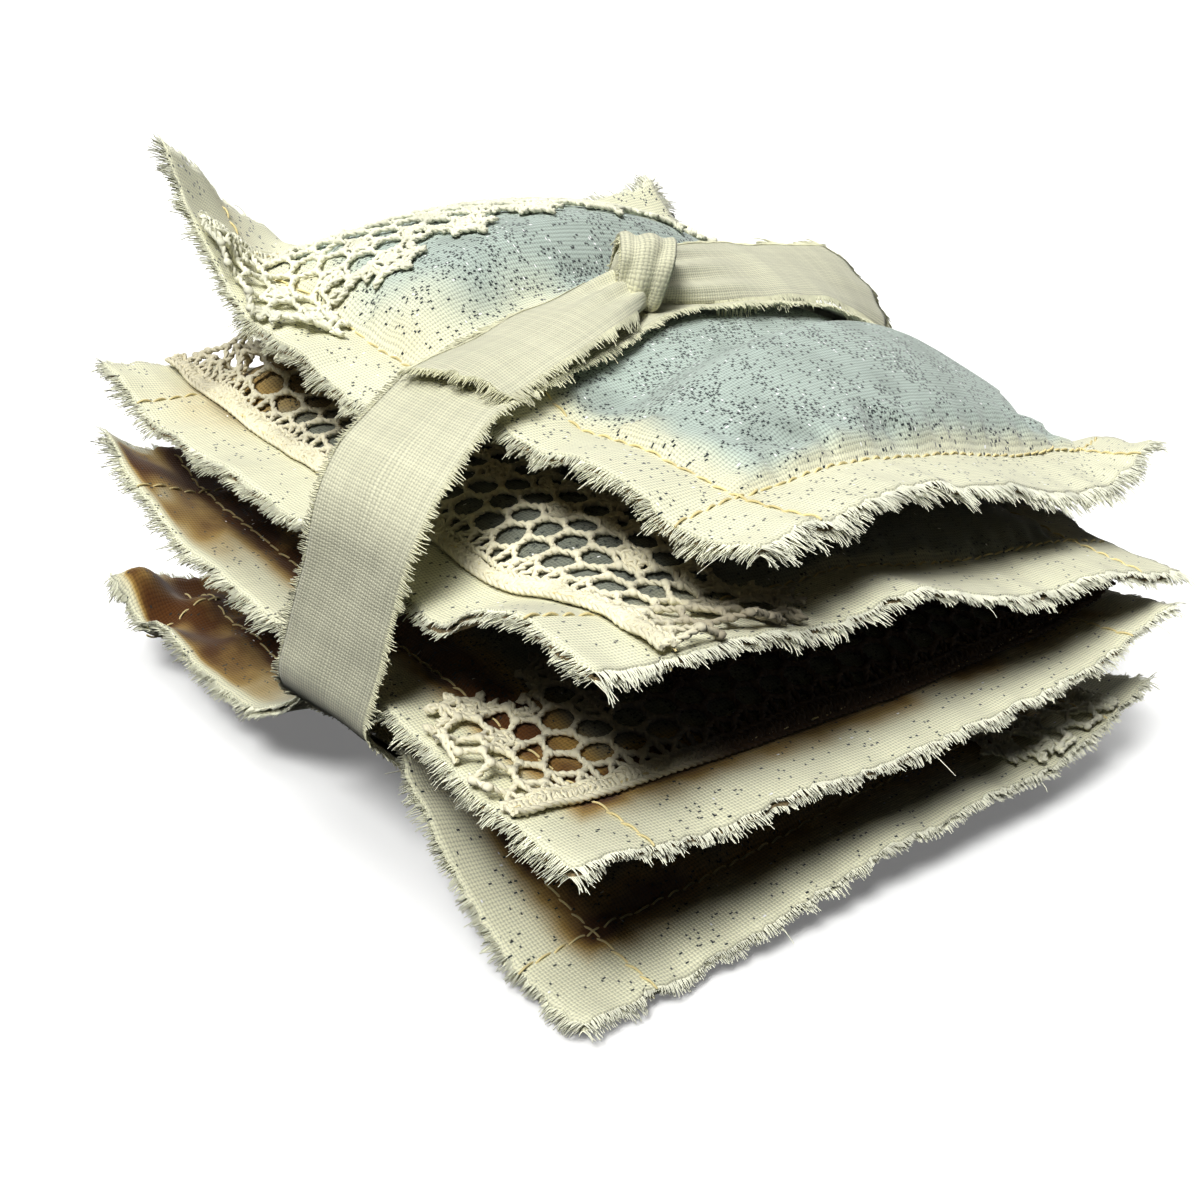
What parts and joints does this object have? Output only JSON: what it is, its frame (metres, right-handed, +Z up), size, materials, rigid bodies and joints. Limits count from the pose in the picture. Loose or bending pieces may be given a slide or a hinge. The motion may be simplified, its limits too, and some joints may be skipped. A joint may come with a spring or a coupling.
{
  "type": "lavender sachet bundle",
  "caption": "Stack of square padded cotton sachets with frayed edges and lace trim, tied with a torn cotton strip; the inner sachets slide out and the strip's loose ends lift.",
  "frame": {"origin": "on the underside of the tie, where the bundle rests, under the middle of the bottom sachet", "axes": "+Z up; +X along the tie, from the left edge to the right edge of the stack; +Y towards the back"},
  "size_m": [0.1322, 0.1264, 0.0788],
  "materials": {
    "panel_cotton": "matte plain-woven cotton with dark and silver flecks",
    "lavender": "dry buds",
    "seam_thread": "matte cotton thread",
    "lace": "matte crochet cotton",
    "tie_cotton": "matte torn cotton strip"
  },
  "bodies": {
    "bundle": {"bottom_back_panel": "panel_cotton", "bottom_front_panel": "panel_cotton", "bottom_lavender_fill": "lavender", "bottom_needle_thread": "seam_thread", "bottom_bobbin_thread": "seam_thread", "bottom_lace_trim": "lace", "top_back_panel": "panel_cotton", "top_front_panel": "panel_cotton", "top_lavender_fill": "lavender", "top_needle_thread": "seam_thread", "top_bobbin_thread": "seam_thread", "top_lace_trim": "lace", "tie_band": "tie_cotton", "tie_knot": "tie_cotton"},
    "second_sachet": {"second_back_panel": "panel_cotton", "second_front_panel": "panel_cotton", "second_lavender_fill": "lavender", "second_needle_thread": "seam_thread", "second_bobbin_thread": "seam_thread", "second_lace_trim": "lace"},
    "third_sachet": {"third_back_panel": "panel_cotton", "third_front_panel": "panel_cotton", "third_lavender_fill": "lavender", "third_needle_thread": "seam_thread", "third_bobbin_thread": "seam_thread", "third_lace_trim": "lace"},
    "left_tail": {"tie_left_tail": "tie_cotton"},
    "right_tail": {"tie_right_tail": "tie_cotton"}
  },
  "joints": [
    {"name": "second_sachet_slide", "type": "slide", "parent": "bundle", "child": "second_sachet", "axis": [0.0209, 0.9998, 0], "range_m": [0, 0.08]},
    {"name": "third_sachet_slide", "type": "slide", "parent": "bundle", "child": "third_sachet", "axis": [0.0227, 0.9997, 0], "range_m": [0, 0.08]},
    {"name": "left_tail_lift", "type": "hinge", "parent": "bundle", "child": "left_tail", "pos_m": [-0.00811, 0.00098, 0.06665], "axis": [0, 1, 0], "range_deg": [0, 90]},
    {"name": "right_tail_lift", "type": "hinge", "parent": "bundle", "child": "right_tail", "pos_m": [0.00211, 0.00292, 0.06747], "axis": [0, -1, 0], "range_deg": [0, 90]}
  ]
}
